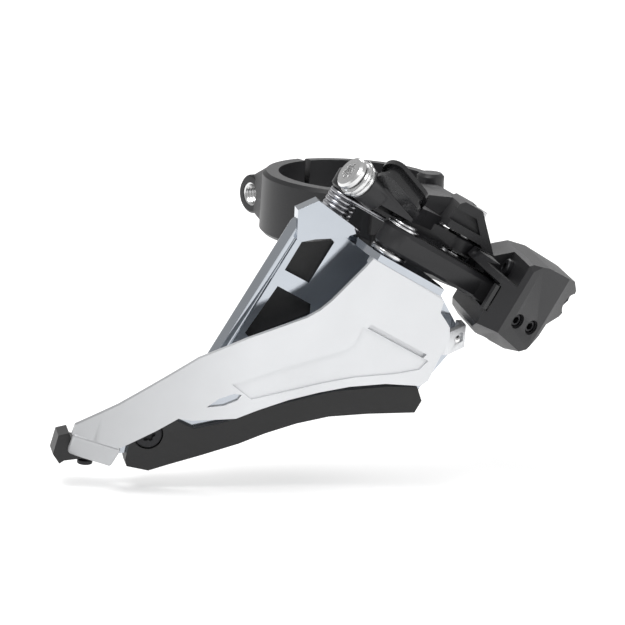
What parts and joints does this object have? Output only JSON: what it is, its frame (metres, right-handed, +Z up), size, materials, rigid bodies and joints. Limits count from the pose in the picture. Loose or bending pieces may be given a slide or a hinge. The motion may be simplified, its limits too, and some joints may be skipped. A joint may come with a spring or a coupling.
{
  "type": "bicycle front derailleur",
  "caption": "Side-swing front derailleur: hinged seat-tube clamp, tilted parallelogram linkage, cable arm and a chain cage of a satin outer and a chrome inner plate with a resin skid pad.",
  "frame": {"origin": "centre of the seat-tube clamp bore, at the middle of the band's height", "axes": "+X forward along the bicycle, +Y to the non-drive side, +Z up along the seat tube"},
  "size_m": [0.112, 0.0896, 0.0712],
  "materials": {
    "bracket_paint": "satin black with a fine grain",
    "link_paint": "satin black",
    "pin_steel": "polished",
    "bolt_steel": "plated, bright",
    "screw_black": "black oxide",
    "pad_resin": "moulded",
    "guide_resin": "glossy black",
    "cage_satin": "satin silver",
    "cage_chrome": "polished",
    "skid_resin": "matte black",
    "spring_steel": "bare wire"
  },
  "bodies": {
    "bracket": {"bracket_body": "bracket_paint", "hinge_pin": "pin_steel", "outer_front_pin": "pin_steel", "inner_front_pin": "pin_steel", "bump_pad": "pad_resin"},
    "low_limit": {"low_limit_screw": "screw_black"},
    "high_limit": {"high_limit_screw": "screw_black"},
    "adjuster": {"cable_adjuster": "bolt_steel"},
    "band": {"clamp_band": "bracket_paint"},
    "band_bolt": {"clamp_bolt": "bolt_steel", "clamp_washer": "bolt_steel"},
    "outer_arm": {"outer_link": "link_paint"},
    "inner_arm": {"inner_link": "link_paint", "cable_guide": "guide_resin"},
    "anchor": {"cable_bolt": "bolt_steel", "cable_plate": "bolt_steel", "cable_washer": "bolt_steel"},
    "cage": {"outer_plate": "cage_satin", "inner_plate": "cage_chrome", "skid_pad": "skid_resin", "skid_screw": "screw_black", "tail_block": "skid_resin", "tail_rivet": "screw_black", "front_rivet": "bolt_steel", "outer_rear_pin": "pin_steel", "outer_rear_washer": "pin_steel", "outer_spacer": "pin_steel", "inner_rear_pin": "pin_steel", "inner_clip": "pin_steel", "return_spring": "spring_steel"}
  },
  "joints": [
    {"name": "swing", "type": "hinge", "parent": "bracket", "child": "outer_arm", "pos_m": [0.02512, -0.0475, -0.0101], "axis": [0.454, 0, 0.891], "range_deg": [0, 27], "stiffness_Nm_per_rad": 0.05, "springref_deg": -22.92},
    {"name": "inner_swing", "type": "hinge", "parent": "bracket", "child": "inner_arm", "pos_m": [0.01643, -0.0385, 0.00017], "axis": [0.454, 0, 0.891], "range_deg": [0, 27]},
    {"name": "cage_pivot", "type": "hinge", "parent": "outer_arm", "child": "cage", "pos_m": [0.00071, -0.046, 0.00234], "axis": [0.454, 0, 0.891], "range_deg": [-27, 0]},
    {"name": "band_hinge", "type": "hinge", "parent": "bracket", "child": "band", "pos_m": [0.01388, -0.01655, 0], "axis": [0, 0, -1], "range_deg": [0, 60]},
    {"name": "clamp_bolt_slide", "type": "slide", "parent": "band", "child": "band_bolt", "axis": [0.8829, 0.4695, 0], "range_m": [0, 0.0126]},
    {"name": "low_limit_turn", "type": "slide", "parent": "bracket", "child": "low_limit", "axis": [0.4722, -0.848, -0.2406], "range_m": [0, 0.002]},
    {"name": "high_limit_turn", "type": "slide", "parent": "bracket", "child": "high_limit", "axis": [0.4722, -0.848, -0.2406], "range_m": [0, 0.002]},
    {"name": "adjuster_turn", "type": "slide", "parent": "bracket", "child": "adjuster", "axis": [0.891, 0, -0.454], "range_m": [-0.0015, 0]},
    {"name": "anchor_turn", "type": "slide", "parent": "inner_arm", "child": "anchor", "axis": [-0.7642, -0.2275, 0.6035], "range_m": [0, 0.003]}
  ],
  "couplings": [
    {"joint": "inner_swing", "follows": "swing", "ratio": 1},
    {"joint": "cage_pivot", "follows": "swing", "ratio": -1},
    {"joint": "clamp_bolt_slide", "follows": "band_hinge", "m_per_rad": 0.012}
  ]
}
